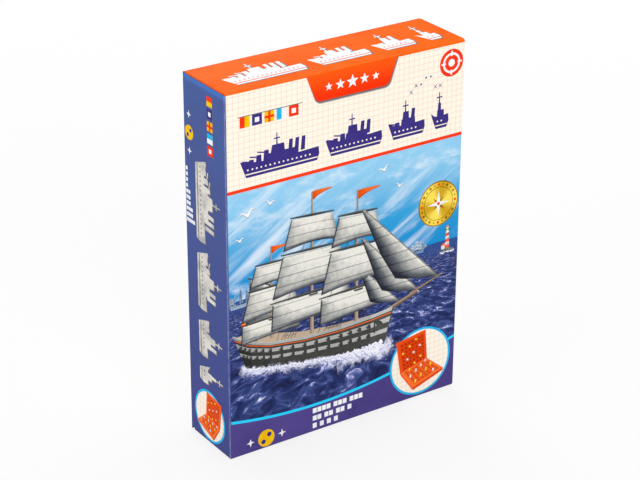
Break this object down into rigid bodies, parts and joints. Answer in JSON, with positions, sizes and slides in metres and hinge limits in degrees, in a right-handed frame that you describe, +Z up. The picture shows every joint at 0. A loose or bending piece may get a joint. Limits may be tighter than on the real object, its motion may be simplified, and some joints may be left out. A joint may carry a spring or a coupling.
{
  "type": "board game carton",
  "caption": "Printed tuck-end carton of a fleet guessing game, with hinged end flaps and two peg-board play cases inside.",
  "frame": {"origin": "middle of the carton's bottom, at the level that it stands on", "axes": "+Z up, front panel facing -Y, +X to the right as seen from the front"},
  "size_m": [0.179, 0.0486, 0.25],
  "materials": {
    "printed_board": "satin",
    "orange_board": "satin",
    "blue_board": "satin",
    "leaflet_paper": "matte",
    "orange_plastic": "satin",
    "grey_plastic": "satin",
    "white_plastic": "satin",
    "yellow_plastic": "satin",
    "steel_pin": "satin"
  },
  "bodies": {
    "carton": {"carton_sleeve": "printed_board", "rules_leaflet": "leaflet_paper", "front_case_lid": "orange_plastic", "front_case_base": "orange_plastic", "front_lid_grid": "orange_plastic", "front_base_grid": "orange_plastic", "front_hinge_pins": "steel_pin", "front_four_deck_ship": "grey_plastic", "front_three_deck_ships": "grey_plastic", "front_two_deck_ships": "grey_plastic", "front_one_deck_ships": "grey_plastic", "front_white_pegs": "white_plastic", "front_yellow_pegs": "yellow_plastic", "rear_case_lid": "orange_plastic", "rear_case_base": "orange_plastic", "rear_lid_grid": "orange_plastic", "rear_base_grid": "orange_plastic", "rear_hinge_pins": "steel_pin", "rear_four_deck_ship": "grey_plastic", "rear_three_deck_ships": "grey_plastic", "rear_two_deck_ships": "grey_plastic", "rear_one_deck_ships": "grey_plastic", "rear_white_pegs": "white_plastic", "rear_yellow_pegs": "yellow_plastic"},
    "top_closure": {"top_closure_panel": "orange_board"},
    "top_tuck": {"top_tuck_flap": "orange_board"},
    "top_dust_left": {"top_dust_flap_left": "blue_board"},
    "top_dust_right": {"top_dust_flap_right": "blue_board"},
    "bottom_closure": {"bottom_closure_panel": "orange_board"},
    "bottom_tuck": {"bottom_tuck_flap": "orange_board"},
    "bottom_dust_left": {"bottom_dust_flap_left": "blue_board"},
    "bottom_dust_right": {"bottom_dust_flap_right": "blue_board"}
  },
  "joints": [
    {"name": "top_closure_crease", "type": "hinge", "parent": "carton", "child": "top_closure", "pos_m": [0, -0.02385, 0.2497], "axis": [1, 0, 0], "range_deg": [0, 175]},
    {"name": "top_tuck_crease", "type": "hinge", "parent": "top_closure", "child": "top_tuck", "pos_m": [0, 0.02251, 0.24947], "axis": [1, 0, 0], "range_deg": [0, 52.5]},
    {"name": "top_dust_left_crease", "type": "hinge", "parent": "carton", "child": "top_dust_left", "pos_m": [-0.0891, 0, 0.2483], "axis": [0, -1, 0], "range_deg": [0, 87.5]},
    {"name": "top_dust_right_crease", "type": "hinge", "parent": "carton", "child": "top_dust_right", "pos_m": [0.0891, 0, 0.2483], "axis": [0, 1, 0], "range_deg": [0, 87.5]},
    {"name": "bottom_closure_crease", "type": "hinge", "parent": "carton", "child": "bottom_closure", "pos_m": [0, -0.02385, 0.0003], "axis": [-1, 0, 0], "range_deg": [0, 175]},
    {"name": "bottom_tuck_crease", "type": "hinge", "parent": "bottom_closure", "child": "bottom_tuck", "pos_m": [0, 0.02251, 0.00053], "axis": [-1, 0, 0], "range_deg": [0, 52.5]},
    {"name": "bottom_dust_left_crease", "type": "hinge", "parent": "carton", "child": "bottom_dust_left", "pos_m": [-0.0891, 0, 0.0017], "axis": [0, 1, 0], "range_deg": [0, 87.5]},
    {"name": "bottom_dust_right_crease", "type": "hinge", "parent": "carton", "child": "bottom_dust_right", "pos_m": [0.0891, 0, 0.0017], "axis": [0, -1, 0], "range_deg": [0, 87.5]}
  ],
  "couplings": [
    {"joint": "top_tuck_crease", "follows": "top_closure_crease", "ratio": 0.3},
    {"joint": "top_dust_left_crease", "follows": "top_closure_crease", "ratio": 0.5},
    {"joint": "top_dust_right_crease", "follows": "top_closure_crease", "ratio": 0.5},
    {"joint": "bottom_tuck_crease", "follows": "bottom_closure_crease", "ratio": 0.3},
    {"joint": "bottom_dust_left_crease", "follows": "bottom_closure_crease", "ratio": 0.5},
    {"joint": "bottom_dust_right_crease", "follows": "bottom_closure_crease", "ratio": 0.5}
  ]
}
